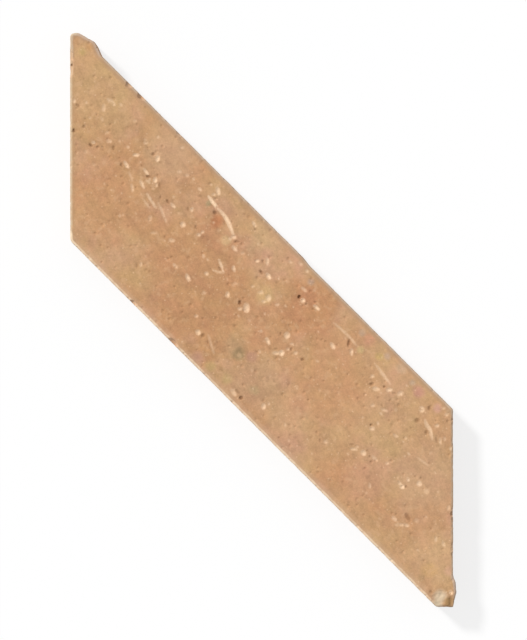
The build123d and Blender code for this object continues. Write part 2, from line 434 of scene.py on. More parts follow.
fleckHighlightMarks = {
    "fullDepth": 0.66,              # a fleck as deep as this is at its palest, with its brightest painted highlight
    "trim": 1.05,
    "bite": 1.1,
    "sunk": 0.7,
    "bySpine": [
        (292.9, 45.3, 6.2, 2.2, -38, 0.35), (288.0, 48.8, 4.5, 2.2, 90, 0.25),
        (298.8, 46.9, 2.4, 1.6, -40, 0.25), (286.9, 56.1, 3.0, 1.5, -60, 0.2),
        (290.2, 64.4, 2.4, 1.8, 0, 0.2), (291.5, 69.9, 3.1, 2.2, 0, 0.3), (307.6, 57.1, 2.4, 1.8, 0, 0.2),
        (314.5, 70.8, 2.6, 2.0, 0, 0.3), (269.5, 44.7, 2.4, 1.6, 90, 0.4), (281.6, 70.8, 1.8, 1.4, 0, 0.5),
        (337.3, 73.7, 2.4, 1.8, 0, 0.25), (279.4, 55.2, 2.0, 1.6, 0, 0.2),
    ],
    "combed": [
        (308.4, 78.6, 4.2, 1.7, 0, 0.5), (302.3, 84.7, 5.0, 1.7, -60, 0.6),
        (322.0, 80.9, 3.4, 2.2, 80, 0.62), (314.6, 89.1, 4.8, 1.5, -52, 0.6),
        (316.0, 95.4, 3.1, 1.4, -40, 0.5), (320.4, 94.4, 3.6, 2.2, 90, 0.55),
        (312.2, 97.1, 5.7, 1.5, -67, 0.5), (306.0, 99.3, 4.8, 1.7, -78, 0.35),
        (321.2, 97.6, 2.4, 1.4, 80, 0.35), (304.9, 92.0, 6.8, 1.3, -70, 0.2),
        (331.6, 110.4, 4.0, 1.5, -45, 0.45), (343.4, 112.8, 2.6, 1.3, 80, 0.5),
        (335.5, 89.1, 2.6, 1.8, 0, 0.25), (340.6, 91.4, 2.6, 1.8, 0, 0.25),
        (337.9, 122.2, 3.3, 2.9, 90, 0.5), (330.8, 132.2, 3.6, 2.4, -10, 0.34),
        (317.2, 118.2, 3.2, 2.4, 90, 0.25), (319.5, 127.5, 4.0, 1.6, 0, 0.2),
        (332.9, 148.2, 3.6, 1.4, -45, 0.35), (311.4, 147.3, 2.6, 1.3, 90, 0.35),
    ],
    "byGroove": [
        (359.9, 101.2, 4.9, 2.2, -80, 0.5), (357.2, 103.4, 2.4, 1.6, 0, 0.3),
        (348.3, 100.0, 2.9, 1.3, -45, 0.35), (382.6, 122.0, 3.6, 1.6, -60, 0.45),
        (347.8, 128.8, 2.0, 1.8, 0, 0.5), (350.1, 127.1, 2.2, 1.2, 45, 0.4),
        (369.5, 130.2, 3.2, 2.4, 0, 0.45), (370.2, 137.2, 4.4, 2.0, -45, 0.45),
        (369.8, 150.1, 3.9, 1.7, -80, 0.45), (375.3, 140.2, 2.2, 1.6, 0, 0.25),
        (352.7, 153.1, 2.4, 1.8, 0, 0.45), (340.9, 155.6, 4.8, 2.1, -65, 0.55),
        (384.6, 145.2, 2.4, 1.6, 0, 0.45), (390.9, 145.5, 4.2, 1.6, -85, 0.4),
        (391.6, 154.8, 4.2, 2.1, -60, 0.6), (405.3, 145.8, 2.4, 1.6, 0, 0.25),
        (411.7, 146.8, 3.0, 1.6, -40, 0.3),
    ],
    "middle": [
        (365.9, 166.4, 3.4, 2.3, 85, 0.5), (370.7, 159.3, 2.4, 1.6, 0, 0.25),
        (373.6, 175.3, 2.4, 1.6, 0, 0.4), (377.7, 174.6, 5.6, 3.8, 90, 0.52),
        (346.2, 179.8, 2.4, 1.8, 0, 0.35), (391.6, 168.5, 3.9, 3.0, 90, 0.42),
        (386.8, 165.0, 3.0, 2.0, 0, 0.35), (388.7, 170.7, 2.2, 1.8, 0, 0.35),
        (397.0, 172.6, 2.4, 1.6, 0, 0.3), (381.7, 161.1, 2.2, 1.6, 0, 0.3),
        (413.3, 170.1, 2.6, 2.3, 90, 0.66), (414.0, 163.2, 4.2, 1.7, -45, 0.4),
        (421.9, 174.5, 4.5, 1.8, -40, 0.6), (415.8, 151.6, 2.4, 1.6, -45, 0.35),
        (391.1, 195.4, 4.8, 1.7, -66, 0.62), (403.3, 191.9, 3.9, 3.4, 90, 0.5),
        (399.8, 203.1, 3.4, 2.8, 90, 0.66), (396.6, 203.1, 4.4, 1.9, 0, 0.45),
        (403.8, 200.7, 2.2, 1.6, 0, 0.35), (408.6, 203.1, 2.4, 1.8, 0, 0.35),
        (406.4, 197.3, 2.2, 1.6, 0, 0.3), (431.9, 198.6, 4.2, 2.0, -58, 0.52),
        (409.1, 224.7, 2.6, 2.0, 0, 0.4), (443.8, 202.4, 4.2, 1.7, -88, 0.45),
    ],
    "byBorder": [
        (456.9, 217.7, 2.4, 2.0, 0, 0.35), (459.2, 225.6, 4.2, 2.2, -10, 0.4),
        (467.5, 226.3, 3.4, 2.0, 10, 0.55), (474.5, 228.6, 4.0, 2.6, 15, 0.35),
        (464.4, 239.0, 4.2, 1.6, -20, 0.3), (457.2, 236.0, 2.4, 2.0, 0, 0.3),
        (456.7, 250.7, 3.0, 2.2, 0, 0.36), (487.9, 238.6, 3.6, 3.2, 90, 0.45),
        (501.7, 237.7, 2.4, 1.6, 0, 0.3), (503.5, 241.8, 2.4, 1.6, 0, 0.3),
        (497.7, 248.7, 2.4, 1.8, 0, 0.35), (499.7, 258.4, 4.0, 1.4, 90, 0.3),
        (502.4, 257.1, 2.4, 1.6, 90, 0.3), (506.2, 263.0, 2.4, 1.4, 90, 0.35),
        (488.8, 271.4, 9.0, 1.2, -37, 0.2), (475.7, 287.2, 2.4, 2.1, 0, 0.66),
        (474.2, 285.0, 2.8, 1.6, -50, 0.42), (479.4, 282.6, 2.6, 1.3, 90, 0.4),
        (486.4, 285.2, 3.2, 3.0, -50, 0.48), (490.9, 290.0, 3.6, 3.2, 90, 0.2),
        (470.6, 307.2, 3.6, 1.8, -45, 0.42), (472.4, 311.1, 2.6, 1.6, 0, 0.38),
        (475.1, 311.1, 3.2, 1.6, 0, 0.38), (478.4, 311.4, 3.2, 1.7, -20, 0.4),
        (484.6, 308.5, 3.2, 2.8, 0, 0.18), (504.9, 300.4, 3.0, 2.0, 90, 0.28),
        (501.7, 323.2, 3.0, 1.8, -60, 0.35), (496.8, 320.0, 3.4, 1.5, 90, 0.3),
        (455.3, 286.6, 3.0, 1.5, 90, 0.26), (451.2, 265.8, 3.4, 2.8, -50, 0.48),
        (445.2, 263.4, 4.5, 1.5, -5, 0.38), (458.4, 269.3, 4.6, 1.6, -45, 0.3),
        (471.8, 255.2, 3.0, 1.8, -30, 0.3), (466.3, 272.4, 2.2, 1.6, 0, 0.3),
        (506.4, 353.8, 2.4, 1.8, -50, 0.6),
    ],
    "byLowerEdge": [
        (347.4, 190.1, 3.3, 2.6, -60, 0.55), (388.5, 236.6, 3.5, 2.4, 90, 0.45),
        (391.8, 234.8, 2.0, 1.2, 90, 0.3), (369.6, 227.8, 5.0, 2.2, -50, 0.4),
        (427.5, 258.8, 2.6, 2.2, 0, 0.3),
    ],
}

# Drag grooves: points down the groove, then its half width in millimetres and its paleness,
# which is pale clay and painted highlight
grooveMarks = {
    "curveTop": ([(353.6, 104.2), (355.6, 106.8), (357.8, 109.8), (360.6, 113.0)], 0.98, 1.05),
    "curveLow": (
        [(360.2, 112.6), (363.4, 115.7), (366.2, 120.5), (368.0, 124.6), (369.6, 129.0)], 0.98, 0.92,
    ),
    "vMark": ([(360.4, 144.0), (361.8, 147.9), (363.6, 152.8)], 0.86, 0.85),
    "vFoot": ([(356.7, 151.0), (360.2, 152.4), (363.8, 152.8)], 0.6, 0.55),
    "combFirst": ([(315.0, 102.8), (318.3, 108.0), (321.2, 112.0)], 0.78, 0.75),
    "combSecond": ([(312.8, 106.2), (314.8, 109.2), (317.0, 112.0)], 0.6, 0.4),
    "combThird": ([(322.2, 108.6), (324.3, 112.4), (325.9, 117.8), (328.6, 123.0)], 0.66, 0.4),
    "middleScratch": ([(432.4, 183.8), (437.1, 187.8), (444.1, 194.5), (447.4, 198.8)], 0.66, 0.45),
    "borderStreak": ([(458.3, 209.4), (462.6, 214.9), (464.7, 218.2), (468.2, 222.6)], 0.8, 0.5),
    "borderCurve": (
        [(490.0, 244.8), (490.6, 247.5), (492.3, 249.8), (493.8, 252.3), (494.6, 257.6)], 1.0, 0.62,
    ),
    "lowerStreak": ([(353.8, 191.6), (355.6, 197.9), (357.4, 203.6)], 0.8, 0.38),
}
# as shares of a groove's half width
grooveForm = {
    "seat": 0.6,                    # how far its middle line stays above the face
    "ends": 0.6,                    # how wide it is at both ends
    "belly": 0.5,                   # and how much wider half way down it
    "ragged": 0.12,
}


def onFace(column, row, height=thickness):
    x = (column - photoCentre[0]) * metresPerPixel
    y = (photoCentre[1] - row) * metresPerPixel
    return Vector((x, y, height))


def setStrength(stamp, strength, middle=None, reach=1.0):
    # how strongly the stamp marks the clay: all over alike, or most at its lowest
    points = stamp.data.vertices
    strengths = [strength] * len(points)
    if middle is not None:
        strengths = [strength * max(0.0, (middle - point.co.z) / reach) for point in points]
    values = stamp.data.attributes.new("strength", "FLOAT", "POINT")
    values.data.foreach_set("value", strengths)


def addStamp(place, halfSizes, turn, seed, ragged=0.16, strength=1.0, peaked=False):
    # a lumpy pebble that is pressed into the clay
    deselectAll()
    bpy.ops.mesh.primitive_ico_sphere_add(subdivisions=2, radius=1, location=(0, 0, 0))
    stamp = bpy.context.active_object
    bpy.ops.object.mode_set(mode="EDIT")
    bpy.ops.transform.vertex_random(offset=ragged, seed=seed)
    bpy.ops.transform.resize(value=halfSizes, center_override=(0, 0, 0))
    bpy.ops.object.mode_set(mode="OBJECT")
    stamp.rotation_euler = (0, 0, turn)
    stamp.location = place
    bpy.ops.object.transform_apply(location=True, rotation=True, scale=True)
    if peaked:
        setStrength(stamp, strength, place.z, halfSizes[2])
    else:
        setStrength(stamp, strength)
    return stamp


def addMarks(marks):
    stamps = []
    for group in marks.values():
        if not isinstance(group, list):
            continue
        for column, row, length, width, turn, depth in group:
            cut = depth * marks["bite"] * mm
            lift = marks["sunk"] * cut
            trim = marks["trim"] * mm / 2
            place = onFace(column, row, thickness + lift)
            sizes = (length * trim, width * trim, cut + lift)
            strength = min(1.0, depth / marks["fullDepth"])
            stamps.append(addStamp(
                place, sizes, radians(turn), len(stamps), strength=strength, peaked=True,
            ))
    return stamps


def addGrooves(grooves):
    tubes = []
    for points, width, palenessAndHighlight in grooves.values():
        route = bpy.data.curves.new("groove", "CURVE")
        route.dimensions = "3D"
        route.bevel_depth = width * mm
        route.bevel_resolution = 3
        route.use_fill_caps = True
        spline = route.splines.new("NURBS")
        spline.points.add(len(points) - 1)
        middle = thickness + grooveForm["seat"] * width * mm
        for index, (column, row) in enumerate(points):
            spline.points[index].co = (*onFace(column, row, middle), 1)
            share = index / (len(points) - 1)
            spline.points[index].radius = grooveForm["ends"] + grooveForm["belly"] * sin(pi * share)
        spline.order_u = 3
        spline.use_endpoint_u = True
        tube = bpy.data.objects.new("groove", route)
        bpy.context.scene.collection.objects.link(tube)
        makeActive(tube)
        bpy.ops.object.convert(target="MESH")
        bpy.ops.object.mode_set(mode="EDIT")
        bpy.ops.mesh.select_all(action="SELECT")
        bpy.ops.mesh.remove_doubles(threshold=0.001 * mm)
        bpy.ops.mesh.normals_make_consistent(inside=False)
        bpy.ops.transform.vertex_random(offset=grooveForm["ragged"] * width * mm, seed=len(tubes))
        bpy.ops.object.mode_set(mode="OBJECT")
        tubes.append(bpy.context.active_object)
        setStrength(tubes[-1], palenessAndHighlight, middle, width * mm)
    return tubes


# Small marks with no place of their own. On the wear face they lie in a band down the upper half
# of the strip; on the sides and along the edges they are spread evenly

scatter = {
    "seed": 11,
    "middle": 8 * mm,               # of the band, out of the strip's middle line
    "spread": 19 * mm,
    "keepOff": 4 * mm,              # from every edge
    "slimness": (0.45, 0.95),
    "turn": (-85, -40),             # they lean down towards the border
}
# small pits, darkened with painted shade like the others
smallPitShades = {
    "count": 80,
    "lengths": (0.9 * mm, 2.2 * mm),
    "depths": (0.12 * mm, 0.3 * mm),
    "strengths": (0.05, 0.27),
}
# small flecks, painted pale with painted highlight like the others
smallFleckHighlights = {
    "count": 150,
    "lengths": (1.0 * mm, 2.8 * mm),
    "depths": (0.08 * mm, 0.22 * mm),
    "strengths": (0.1, 0.5),
}
edgeWear = {
    "seed": 23,
    "nibbles": 40,                  # bites off the worn arris
    "lengths": (1.4 * mm, 4.5 * mm),
    "bites": (0.8 * mm, 1.3 * mm),
    "bedNibbles": 16,
    "bedBites": (0.5 * mm, 1.0 * mm),
    "sidePits": 70,
    "sideSizes": (0.6 * mm, 1.5 * mm),
    "sideSeat": 0.35,               # share of a side pit's size that its middle stands out by
    "sideHeights": (0.15, 0.8),     # share of the thickness
    "sideLengths": (1.0, 2.2),      # a side pit's length, depth and height, as shares of its size
    "sideDepth": 0.8,
    "sideRises": (0.5, 0.8),
    "strengths": (0.1, 0.6),
}
# the runs of the outline that are free of tips and heels: start, way, length and the way out
rimRuns = (
    (spineTip + along * 30 * mm, along, longEdge - 40 * mm, outward),
    (spineHeel + along * 5 * mm, along, longEdge - 25 * mm, -outward),
    (spineHeel + up * 5 * mm, up, cutLength - 15 * mm, -right),
    (borderTip + up * 32 * mm, up, cutLength - 36 * mm, right),
)


def addScatter(marks, dice):
    stamps = []
    halfLength = longEdge / 2 - 3 * scatter["keepOff"]
    while len(stamps) < marks["count"]:
        down = dice.uniform(-halfLength, halfLength)
        across = dice.gauss(scatter["middle"], scatter["spread"])
        if abs(across) > halfWidth - scatter["keepOff"]:
            continue
        # both cuts slant back from the upper edge
        place = along * (down - across / tan(mitre)) + outward * across + upright * thickness
        length = dice.uniform(*marks["lengths"])
        width = length * dice.uniform(*scatter["slimness"])
        sizes = (length / 2, width / 2, dice.uniform(*marks["depths"]))
        turn = radians(dice.uniform(*scatter["turn"]))
        strength = dice.uniform(*marks["strengths"])
        seed = dice.randrange(10000)
        stamps.append(addStamp(place, sizes, turn, seed, strength=strength, peaked=True))
    return stamps


def pickOnRim(dice):
    # a place on the outline of the strip, the turn of its edge and the way out of it
    start, way, length, out = dice.choices(rimRuns, weights=[run[2] for run in rimRuns])[0]
    return start + way * dice.uniform(0, length), atan2(way.y, way.x), out


def addEdgeWear(settings):
    dice = random.Random(settings["seed"])
    stamps = []
    for count, height, bites in (
        (settings["nibbles"], thickness, settings["bites"]),
        (settings["bedNibbles"], 0, settings["bedBites"]),
    ):
        for index in range(count):
            place, turn, out = pickOnRim(dice)
            bite = dice.uniform(*bites)
            sizes = (dice.uniform(*settings["lengths"]) / 2, bite, bite)
            strength = dice.uniform(*settings["strengths"])
            place = place + upright * height
            stamps.append(addStamp(place, sizes, turn, dice.randrange(10000), strength=strength))
    for index in range(settings["sidePits"]):
        place, turn, out = pickOnRim(dice)
        size = dice.uniform(*settings["sideSizes"])
        height = dice.uniform(*settings["sideHeights"]) * thickness
        place = place + out * size * settings["sideSeat"] + upright * height
        length = size * dice.uniform(*settings["sideLengths"])
        rise = size * dice.uniform(*settings["sideRises"])
        sizes = (length, size * settings["sideDepth"], rise)
        strength = dice.uniform(*settings["strengths"])
        stamps.append(addStamp(place, sizes, turn, dice.randrange(10000), strength=strength))
    return stamps


# Flakes off the arrises: the place on the edge, the way along it, length and bite in millimetres
flakes = {
    "spineWear": (spineTip - up * 22 * mm, up, 17.0, 1.3),
    "upperNick": (spineTip + along * 47 * mm, along, 4.5, 1.3),
    "upperChip": (spineTip + along * 56.5 * mm, along, 6.0, 1.5),
    "lowerNick": (spineHeel + along * 49 * mm, along, 5.0, 1.4),
    "lowerChip": (spineHeel + along * 80 * mm, along, 7.5, 1.7),
    "borderChip": (borderTip + up * 62 * mm, up, 5.0, 1.3),
}
arrisDrop = tileForm["arris"] * (2 ** 0.5 - 1)  # from the sharp edge in to the rounded one
flakePaleness = 0.8
flakeRagged = 0.1
chipRagged = 0.12

# The broken border tip: place, half length, half width and depth in millimetres, then turn
tipChips = {
    "shell": ((499.8, 359.0), (5.4, 4.8, 0.6), -35),
    "shellFoot": ((501.6, 363.6), (4.4, 2.6, 1.2), 0),
    "hollow": ((505.6, 359.8), (2.4, 3.6, 0.9), 10),
}


def addFlakes():
    stamps = []
    for place, way, length, bite in flakes.values():
        size = bite * mm + arrisDrop
        sizes = (length / 2 * mm, size, size)
        turn = atan2(way.y, way.x)
        place = place + upright * thickness
        stamps.append(addStamp(
            place, sizes, turn, len(stamps), ragged=flakeRagged, strength=flakePaleness,
        ))
    for (column, row), sizes, turn in tipChips.values():
        sizes = [size * mm for size in sizes]
        stamps.append(addStamp(
            onFace(column, row), sizes, radians(turn), len(stamps), ragged=chipRagged,
        ))
    return stamps


dice = random.Random(scatter["seed"])
pitsWithShade = joinPieces(addMarks(pitShadeMarks) + addScatter(smallPitShades, dice), "pitStamps")
flecksWithHighlight = addMarks(fleckHighlightMarks) + addGrooves(grooveMarks)
flecksWithHighlight = joinPieces(flecksWithHighlight + addScatter(smallFleckHighlights, dice), "fleckStamps")
scars = joinPieces(addFlakes() + addEdgeWear(edgeWear), "scarStamps")
print("stamps made")

for stamp in (scars, pitsWithShade, flecksWithHighlight):
    applyModifier(tile, "BOOLEAN", operation="DIFFERENCE", object=stamp, solver="MANIFOLD")
print("stamps cut:", len(tile.data.polygons), "faces")

applyModifier(tile, "REMESH", mode="VOXEL", voxel_size=tileForm["grid"])
applyModifier(tile, "SMOOTH", factor=0.5, iterations=1)
print("tile gridded:", len(tile.data.polygons), "faces")


# Relief of the clay, made by Geometry Nodes: nothing stands proud, all of it is pressed or worn in

relief = {
    # each layer: noise scale, detail, the depth that it presses to, and the noise between which
    # it runs from nothing to that depth
    "swell": (13, 1, 0.26 * mm, 0.3, 0.7),
    "hollows": (55, 2, 0.13 * mm, 0.3, 0.7),
    "dapple": (240, 3, 0.08 * mm, 0.3, 0.7),
    "drag": (330, 2, 0.06 * mm, 0.3, 0.7),
    "wear": (150, 3, 0.35 * mm, 0.48, 0.78),        # on the arris alone
    "tear": (170, 4, 0.45 * mm, 0.56, 0.80),        # on the sides alone
    "sideDrag": (600, 2, 0.12 * mm, 0.45, 0.75),
    "sideCalm": 0.25,               # share of the wear face's relief that the sides have
    "fracture": (330, 4, 0.60 * mm, 0.52, 0.80),    # on the broken tips alone
    "dragTurn": radians(62),        # the strike board was drawn down this way
    "dragStretch": 0.12,
    "sideStretch": 0.07,
    "poreScale": 270,
    "poreShare": 0.5,
    "poreSize": 0.34,               # as a share of a pore's cell
    "poreLeast": 0.4,               # the smallest pore, as a share of the greatest
    "poreCore": 0.4,                # share of a pore that is full depth
    "poreDepth": 0.3 * mm,
    "markJitter": (620, 0.6 * mm),
    "arrisWear": (0.5 * mm, 2.2 * mm),
    "noseWear": 0.4 * mm,           # the spine tip is worn down in a broad shallow slope
    "bed": 0.35 * mm,               # what is lower than this lies flat on the ground
    "bedCalm": 8,                   # and the relief is full from this many times higher up
    # how far up a normal points where it counts as side, as bed and as wear face
    "sideTilt": (0.35, 0.75),
    "bedTilt": (-0.8, -0.4),
    "faceTilt": (0.5, 0.9),
    "arrisBand": (5 * mm, 2 * mm),  # below the wear face: where the arris starts and is full
}

# The broken tips: where each is worn, and how far round
spineNose = (onFace(277, 9), 13 * mm)
borderNose = (onFace(509, 350), 9 * mm)
spineBreak = (spineTip + Vector((3, -5, 8)) * mm, 13 * mm)
borderBreak = (onFace(501.5, 359, thickness - 4 * mm), 11 * mm)


def distanceTo(tree, piece, place):
    mesh = addNode(tree, "GeometryNodeObjectInfo", {"Object": piece}).outputs["Geometry"]
    reached = addNode(
        tree, "GeometryNodeProximity", {"Target": mesh, "Source Position": place}, target_element="FACES",
    )
    return mesh, reached.outputs["Distance"]


def nearestStamp(tree, stamps, place):
    # how far a place is from the nearest stamp, and the strength of that stamp
    mesh, distance = distanceTo(tree, stamps, place)
    strength = addNode(tree, "GeometryNodeInputNamedAttribute", {"Name": "strength"}, data_type="FLOAT")
    sampled = addNode(
        tree, "GeometryNodeSampleNearestSurface",
        {"Mesh": mesh, "Value": strength.outputs["Attribute"], "Sample Position": place},
        data_type="FLOAT",
    )
    return distance, sampled.outputs["Value"]


def poreMask(tree, place):
    cells = addNode(tree, "ShaderNodeTexVoronoi", {"Vector": place, "Scale": relief["poreScale"]})
    dice = separate(tree, cells.outputs["Color"])
    chosen = calc(tree, "LESS_THAN", dice["X"], relief["poreShare"])
    least = relief["poreLeast"] * relief["poreSize"]
    size = remap(tree, dice["Y"], 0.0, 1.0, least, relief["poreSize"], kind="LINEAR")
    away = calc(tree, "DIVIDE", cells.outputs["Distance"], size)
    mask = remap(tree, away, relief["poreCore"], 1.0, 1.0, 0.0)
    return calc(tree, "MULTIPLY", mask, chosen)


def tipMask(tree, place, tip):
    centre, reach = tip
    away = vectorCalc(tree, "DISTANCE", place, centre)
    return remap(tree, away, 0.5 * reach, reach, 1.0, 0.0)


def store(tree, geometry, name, value):
    node = addNode(
        tree, "GeometryNodeStoreNamedAttribute",
        {"Geometry": geometry, "Name": name, "Value": value},
        data_type="FLOAT", domain="POINT",
    )
    return node.outputs["Geometry"]


def press(tree, depth, layer, source, mask):
    # adds a layer to the depth that the surface is pressed in by
    scale, detail, amount, low, high = relief[layer]
    share = remap(tree, noise(tree, source, scale, detail), low, high, kind="LINEAR")
    return calc(tree, "MULTIPLY_ADD", calc(tree, "MULTIPLY", share, mask), amount, depth)


def makeRelief(form):
    tree = bpy.data.node_groups.new("clayRelief", "GeometryNodeTree")
    tree.interface.new_socket(name="Geometry", in_out="INPUT", socket_type="NodeSocketGeometry")
    tree.interface.new_socket(name="Geometry", in_out="OUTPUT", socket_type="NodeSocketGeometry")
    start = addNode(tree, "NodeGroupInput")
    place = addNode(tree, "GeometryNodeInputPosition").outputs[0]
    normal = addNode(tree, "GeometryNodeInputNormal").outputs[0]
    height = separate(tree, place)["Z"]
    facing = separate(tree, normal)["Z"]

    # what the material reads: distances and strengths of the marks, and how far from the sides,
    # where the rims' wear and their painted light and shade lie
    side = remap(tree, calc(tree, "ABSOLUTE", facing), *relief["sideTilt"], 1.0, 0.0)
    top = remap(tree, height, *(thickness - below for below in relief["arrisBand"]))
    rimAway = distanceTo(tree, sides, place)[1]
    pore = poreMask(tree, place)
    values = {
        "side": side,
        "bed": remap(tree, facing, *relief["bedTilt"], 1.0, 0.0),
        "pore": pore,
        "rimAway": rimAway,
    }
    scale, amount = relief["markJitter"]
    shaken = jitter(tree, place, scale, amount)
    # the pit and fleck strengths set how much painted shade and painted highlight the material lays
    for name, stamps in (("pit", pitsWithShade), ("fleck", flecksWithHighlight), ("scar", scars)):
        values[name + "Away"], values[name + "Strength"] = nearestStamp(tree, stamps, shaken)
    geometry = start.outputs["Geometry"]
    for name, value in values.items():
        geometry = store(tree, geometry, name, value)

    # the layers of relief, pressed in along the normals
    drawn = turned(tree, place, relief["dragTurn"])
    drawn = vectorCalc(tree, "MULTIPLY", drawn, (relief["dragStretch"], 1, 1))
    level = vectorCalc(tree, "MULTIPLY", place, (relief["sideStretch"], relief["sideStretch"], 1))
    worn = calc(tree, "MULTIPLY", remap(tree, rimAway, *relief["arrisWear"], 1.0, 0.0), top)
    broken = calc(
        tree, "MAXIMUM",
        calc(tree, "MULTIPLY", tipMask(tree, place, spineBreak), side), tipMask(tree, place, borderBreak),
    )
    calm = remap(tree, side, 0.0, 1.0, 1.0, relief["sideCalm"], kind="LINEAR")
    depth = press(tree, 0.0, "swell", place, calm)
    depth = press(tree, depth, "hollows", place, calm)
    depth = press(tree, depth, "dapple", place, calm)
    depth = press(tree, depth, "drag", drawn, calm)
    depth = press(tree, depth, "wear", place, worn)
    depth = press(tree, depth, "tear", place, side)
    depth = press(tree, depth, "sideDrag", level, side)
    depth = press(tree, depth, "fracture", place, broken)
    depth = calc(tree, "MULTIPLY_ADD", pore, relief["poreDepth"], depth)
    flat = remap(tree, facing, *relief["faceTilt"])
    noseWear = calc(tree, "MULTIPLY", tipMask(tree, place, spineNose), flat)
    depth = calc(tree, "MULTIPLY_ADD", noseWear, relief["noseWear"], depth)
    free = remap(tree, height, relief["bed"], relief["bedCalm"] * relief["bed"])
    depth = calc(tree, "MULTIPLY", depth, free)
    pressed = scaled(tree, normal, calc(tree, "MULTIPLY", depth, -1))

    # the crown: the further from the middle line and the higher, the more it falls
    across = separate(tree, turned(tree, place, mitre))["Y"]
    share = calc(tree, "DIVIDE", across, halfWidth)
    fall = calc(tree, "MULTIPLY", calc(tree, "MULTIPLY", share, share), -form["crown"] / thickness)
    # and the bed is flat: whatever is near the ground lies on it
    onBed = calc(tree, "LESS_THAN", height, relief["bed"])
    fall = calc(tree, "MINIMUM", fall, calc(tree, "MULTIPLY", onBed, -1))
    drop = addNode(tree, "ShaderNodeCombineXYZ", {"Z": calc(tree, "MULTIPLY", fall, height)}).outputs[0]
    offset = vectorCalc(tree, "ADD", pressed, drop)
    moved = addNode(tree, "GeometryNodeSetPosition", {"Geometry": geometry, "Offset": offset})
    addNode(tree, "NodeGroupOutput", {"Geometry": moved.outputs[0]})
    return tree


def thinTile(tile, form):
    # fewer faces, and most of them kept on the wear face
    wearFace = tile.vertex_groups.new(name="wearFace")
    level = thickness - form["wearFaceDepth"]
    onTop = [vertex.index for vertex in tile.data.vertices if vertex.co.z > level]
    below = [vertex.index for vertex in tile.data.vertices if vertex.co.z <= level]
    wearFace.add(onTop, form["wearFaceWeight"], "REPLACE")
    wearFace.add(below, 1.0, "REPLACE")
    applyModifier(
        tile, "DECIMATE", ratio=form["triangles"] / (2 * len(tile.data.polygons)),
        vertex_group="wearFace", vertex_group_factor=form["wearFaceCare"],
    )
    tile.vertex_groups.clear()
    makeActive(tile)
    bpy.ops.object.shade_smooth()


applyModifier(tile, "NODES", node_group=makeRelief(tileForm))
for piece in (pitsWithShade, flecksWithHighlight, scars, sides):
    bpy.data.objects.remove(piece)
print("relief made")

thinTile(tile, tileForm)
wearLevel = thickness - tileForm["wearFaceDepth"]
onTop = sum(face.center.z > wearLevel for face in tile.data.polygons)
print("tile finished:", len(tile.data.polygons), "faces,", onTop, "of them on top")


# Shader groups

def newGroup(name, inputs, outputs):
    group = bpy.data.node_groups.new(name, "ShaderNodeTree")
    for socket, kind in inputs.items():
        group.interface.new_socket(name=socket, in_out="INPUT", socket_type="NodeSocket" + kind)
    for socket, kind in outputs.items():
        group.interface.new_socket(name=socket, in_out="OUTPUT", socket_type="NodeSocket" + kind)
    return group, addNode(group, "NodeGroupInput").outputs


patchForm = {
    "noise": (130, 4),              # scale and detail, as in the others
    "core": 0.3,                    # share of its reach that has the full tone
}
speckleForm = {
    "size": 0.3,                    # as a share of a speckle's cell
    "core": 0.5,
    "faintest": 0.35,
}
markForm = {
    "noise": (1500, 2),
    "crumbled": 0.5 * mm,
}


def makeSoftPatch():
    # a patch of another tone, round a centre, with a ragged rim
    inputs = {"Place": "Vector", "Centre": "Vector", "Reach": "Float", "Ragged": "Float"}
    group, given = newGroup("softPatch", inputs, {"Mask": "Float"})
    shake = noise(group, given["Place"], *patchForm["noise"], output="Color")
    shake = vectorCalc(group, "SUBTRACT", shake, (0.5, 0.5, 0.5))
    ragged = scaled(group, shake, calc(group, "MULTIPLY", given["Ragged"], given["Reach"]))
    shaken = vectorCalc(group, "ADD", given["Place"], ragged)
    away = vectorCalc(group, "DISTANCE", shaken, given["Centre"])
    share = calc(group, "DIVIDE", away, given["Reach"])
    mask = remap(group, share, patchForm["core"], 1.0, 1.0, 0.0)
    addNode(group, "NodeGroupOutput", {"Mask": mask})
    return group


def makeSpeckle():
    # grains picked at random from a field of cells
    inputs = {"Place": "Vector", "Scale": "Float", "Share": "Float", "Size": "Float"}
    group, given = newGroup("speckle", inputs, {"Mask": "Float"})
    cells = addNode(group, "ShaderNodeTexVoronoi", {"Vector": given["Place"], "Scale": given["Scale"]})
    dice = separate(group, cells.outputs["Color"])
    chosen = calc(group, "LESS_THAN", dice["X"], given["Share"])
    grain = calc(group, "DIVIDE", cells.outputs["Distance"], given["Size"])
    tone = remap(group, dice["Y"], 0.0, 1.0, speckleForm["faintest"], 1.0, kind="LINEAR")
    tone = calc(group, "MULTIPLY", chosen, tone)
    mask = calc(group, "MULTIPLY", remap(group, grain, speckleForm["core"], 1.0, 1.0, 0.0), tone)
    addNode(group, "NodeGroupOutput", {"Mask": mask})
    return group


def makeMark():
    # full on a mark and fading out round it, with a crumbled rim
    inputs = {"Place": "Vector", "Away": "Float", "Strength": "Float", "Inner": "Float", "Outer": "Float"}
    group, given = newGroup("mark", inputs, {"Mask": "Float"})
    crumbled = calc(group, "SUBTRACT", noise(group, given["Place"], *markForm["noise"]), 0.5)
    away = calc(group, "MULTIPLY_ADD", crumbled, markForm["crumbled"], given["Away"])
    mask = remap(group, away, given["Inner"], given["Outer"], 1.0, 0.0)
    addNode(group, "NodeGroupOutput", {"Mask": calc(group, "MULTIPLY", mask, given["Strength"])})
    return group


softPatch = makeSoftPatch()
speckle = makeSpeckle()
mark = makeMark()


# Fired clay

